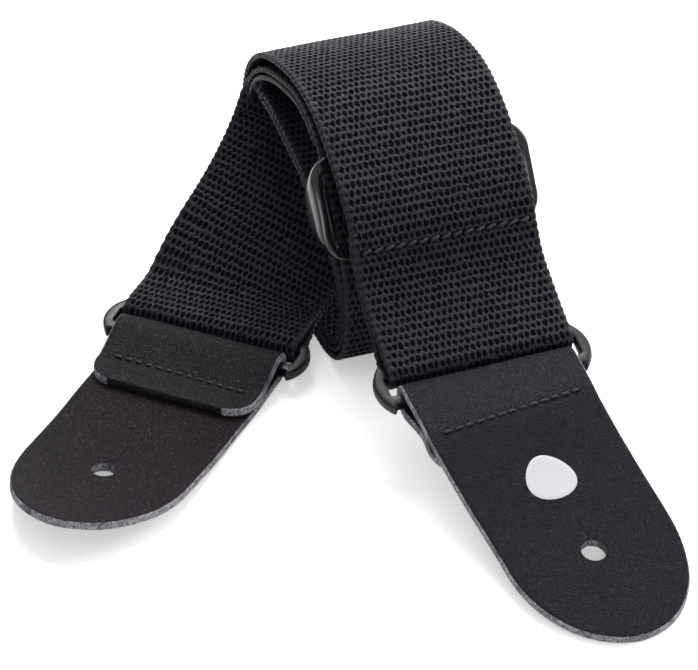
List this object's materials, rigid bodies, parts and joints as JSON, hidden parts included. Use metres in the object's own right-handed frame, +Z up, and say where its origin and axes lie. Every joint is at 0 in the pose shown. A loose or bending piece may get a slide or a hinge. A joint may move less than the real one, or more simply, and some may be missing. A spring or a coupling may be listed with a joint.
{
  "type": "guitar strap",
  "caption": "Adjustable woven guitar strap, wound into a standing roll, with a ladder-lock slider and leather end tabs on plastic rings.",
  "frame": {"origin": "middle of the roll's flat underside, where it stands on the ground", "axes": "+X along the webbing's width in the roll, +Y to the back of the roll, -Y towards the front tab, +Z up"},
  "size_m": [0.1532, 0.2026, 0.0732],
  "materials": {
    "webbing": "black woven polypropylene",
    "leather": "black grained leather with grey cut edges",
    "ring": "satin moulded plastic",
    "slider": "glossy moulded plastic",
    "thread": "black bonded sewing thread",
    "foil": "silver hot-stamped foil"
  },
  "bodies": {
    "strap": {"main_webbing": "webbing", "webbing_end_seam": "thread"},
    "front_ring": {"ring_front": "ring"},
    "front_tab": {"leather_tab_front": "leather", "stitches_front": "thread", "foil_mark": "foil"},
    "rear_ring": {"ring_rear": "ring"},
    "rear_tab": {"leather_tab_rear": "leather", "stitches_rear": "thread"},
    "slider": {"slider_buckle": "slider", "slider_webbing_loop": "webbing"}
  },
  "joints": [
    {"name": "front_ring_swing", "type": "hinge", "parent": "strap", "child": "front_ring", "pos_m": [0, -0.0715, 0.02331], "axis": [1, 0, 0], "range_deg": [-60, 35]},
    {"name": "front_tab_swing", "type": "hinge", "parent": "front_ring", "child": "front_tab", "pos_m": [0, -0.0794, 0.02043], "axis": [1, 0, 0], "range_deg": [-45, 30]},
    {"name": "rear_ring_swing", "type": "hinge", "parent": "strap", "child": "rear_ring", "pos_m": [-0.0526, -0.01395, 0.00575], "axis": [0.7312, -0.6822, 0], "range_deg": [-60, 35]},
    {"name": "rear_tab_swing", "type": "hinge", "parent": "rear_ring", "child": "rear_tab", "pos_m": [-0.05831, -0.02008, 0.00516], "axis": [0.7312, -0.6822, 0], "range_deg": [-45, 30]},
    {"name": "slider_play", "type": "slide", "parent": "strap", "child": "slider", "axis": [0, -0.5593, -0.829], "range_m": [-0.002, 0.002]}
  ]
}
